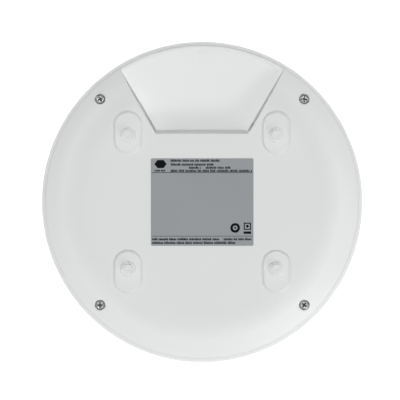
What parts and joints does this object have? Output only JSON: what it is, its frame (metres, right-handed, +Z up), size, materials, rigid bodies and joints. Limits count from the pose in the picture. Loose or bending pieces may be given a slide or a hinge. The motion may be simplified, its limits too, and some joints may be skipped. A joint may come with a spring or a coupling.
{
  "type": "ceiling access point",
  "caption": "Round white ceiling access point with a domed rear cover, cable bay, hanging studs, rating label, sockets and full inner electronics.",
  "frame": {"origin": "centre of the rectangle of four hanging studs, in the plane of the stud heads' undersides", "axes": "+Z up at the ceiling, out of the rear cover; +Y towards the cable bay at the rim; +X to the right when the back is seen with the bay at the top"},
  "size_m": [0.18, 0.18, 0.0408],
  "materials": {
    "white_rear_plastic": "fine satin moulded texture",
    "white_front_plastic": "fine satin moulded texture",
    "label_film": "satin printed polyester film",
    "zinc_steel": "zinc-plated",
    "brass": "knurled and turned",
    "board_laminate": "green solder resist",
    "cast_aluminium": "as die-cast",
    "chip_epoxy": "moulded epoxy",
    "tinned_sheet": "tin-plated",
    "thermal_pad": "soft silicone",
    "jack_plastic": "black glass-filled plastic",
    "gold_contact": "gold-plated",
    "nickel_pin": "nickel-plated",
    "button_plastic": "grey moulded plastic",
    "ferrite": "sintered ferrite",
    "coil_tape": "yellow polyester tape",
    "capacitor_can": "sleeved can",
    "ceramic_body": "fired ceramic",
    "antenna_metal": "tin-plated stamping",
    "lead_jacket": "extruded jacket",
    "clear_acrylic": "frosted clear acrylic"
  },
  "bodies": {
    "housing": {"antenna_1": "antenna_metal", "antenna_2": "antenna_metal", "antenna_3": "antenna_metal", "antenna_4": "antenna_metal", "antenna_connectors": "gold_contact", "antenna_lead_1": "lead_jacket", "antenna_lead_2": "lead_jacket", "antenna_lead_3": "lead_jacket", "antenna_lead_4": "lead_jacket", "antenna_plugs": "gold_contact", "antenna_screws": "zinc_steel", "board_screws": "zinc_steel", "bridge_rectifiers": "chip_epoxy", "chip_capacitors": "ceramic_body", "console_jack_contacts": "gold_contact", "console_jack_housing": "jack_plastic", "console_jack_shield": "tinned_sheet", "cover_screw_inserts": "brass", "cover_screws": "zinc_steel", "crystals": "tinned_sheet", "dc_jack_housing": "jack_plastic", "dc_jack_pin": "nickel_pin", "electrolytic_capacitors": "capacitor_can", "ethernet_jack_contacts": "gold_contact", "ethernet_jack_housing": "jack_plastic", "ethernet_jack_shield": "tinned_sheet", "ethernet_transformer": "chip_epoxy", "flash_chip": "chip_epoxy", "front_cover": "white_front_plastic", "heat_sink": "cast_aluminium", "indicator_led": "ceramic_body", "light_pipe": "clear_acrylic", "main_board": "board_laminate", "memory_chips": "chip_epoxy", "poe_transformer_coil": "coil_tape", "poe_transformer_core": "ferrite", "power_inductors": "ferrite", "radio_chips": "chip_epoxy", "radio_inner_thermal_pads": "thermal_pad", "radio_outer_thermal_pads": "thermal_pad", "radio_shield_cans": "tinned_sheet", "rating_label": "label_film", "rear_cover": "white_rear_plastic", "reset_switch": "jack_plastic", "soc_chip": "chip_epoxy", "soc_inner_thermal_pad": "thermal_pad", "soc_outer_thermal_pad": "thermal_pad", "soc_shield_can": "tinned_sheet"},
    "reset_button": {"reset_button": "button_plastic"}
  },
  "joints": [
    {"name": "reset_press", "type": "slide", "parent": "housing", "child": "reset_button", "axis": [0, -1, 0], "range_m": [0, 0.0005], "stiffness_N_per_m": 2000, "springref_m": -0.0002}
  ]
}
